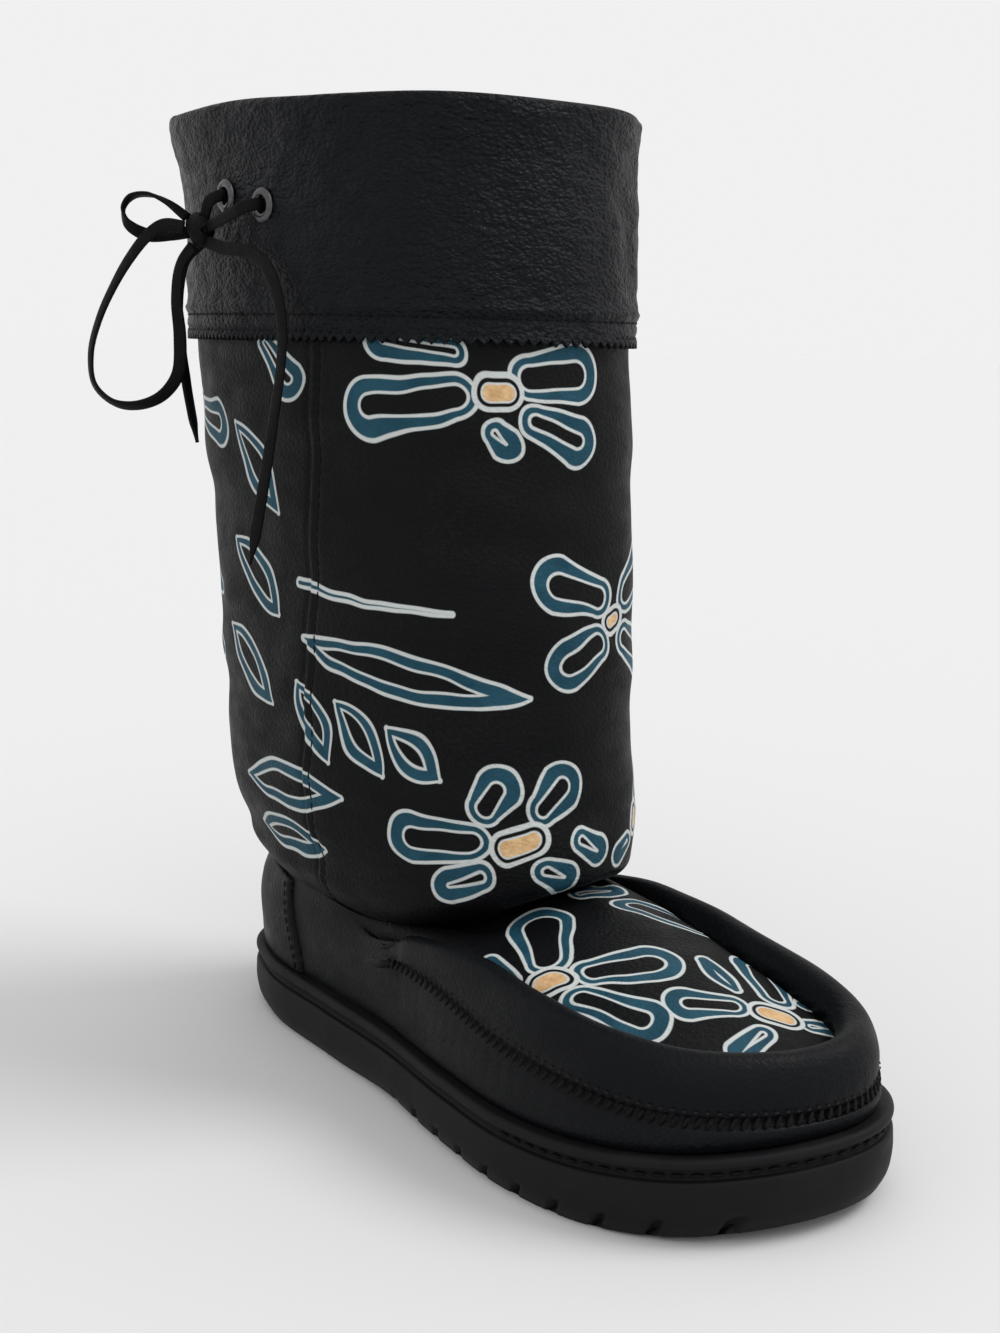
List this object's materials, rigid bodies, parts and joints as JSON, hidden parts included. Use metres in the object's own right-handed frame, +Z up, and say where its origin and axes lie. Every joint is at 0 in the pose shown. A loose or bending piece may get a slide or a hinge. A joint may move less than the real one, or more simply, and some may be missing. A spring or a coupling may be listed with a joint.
{
  "type": "mukluk boot",
  "caption": "Right mukluk boot with a moccasin toe, a tall printed leather shaft, a folded cuff with a drawstring bow and a rubber cupsole.",
  "frame": {"origin": "centre of the boot's box at floor level, measured without the bow", "axes": "+X towards the toe, +Y towards the inner (medial) side, +Z up"},
  "size_m": [0.2856, 0.1547, 0.294],
  "materials": {
    "sole_rubber": "matte moulded black rubber",
    "fleece": "short dark fleece lining and sock",
    "smooth_leather": "smooth black leather, low sheen",
    "printed_leather": "black grained leather with a flower and leaf print in teal, cream and tan",
    "grain_leather": "pebbled black leather, soft sheen",
    "eyelet_steel": "dark polished steel",
    "thong": "flat black leather thong"
  },
  "bodies": {
    "root": {"outsole": "sole_rubber", "midsole": "sole_rubber", "insole": "fleece", "upper": "smooth_leather", "apron_roll": "smooth_leather", "vamp_plug": "printed_leather", "heel_counter": "smooth_leather", "shaft": "printed_leather", "cuff": "grain_leather", "eyelet_front": "eyelet_steel", "eyelet_rear": "eyelet_steel", "lace_knot": "thong", "lace_loop_upper": "thong", "lace_loop_lower": "thong", "lace_end_rear": "thong", "lace_end_front": "thong"}
  },
  "joints": []
}
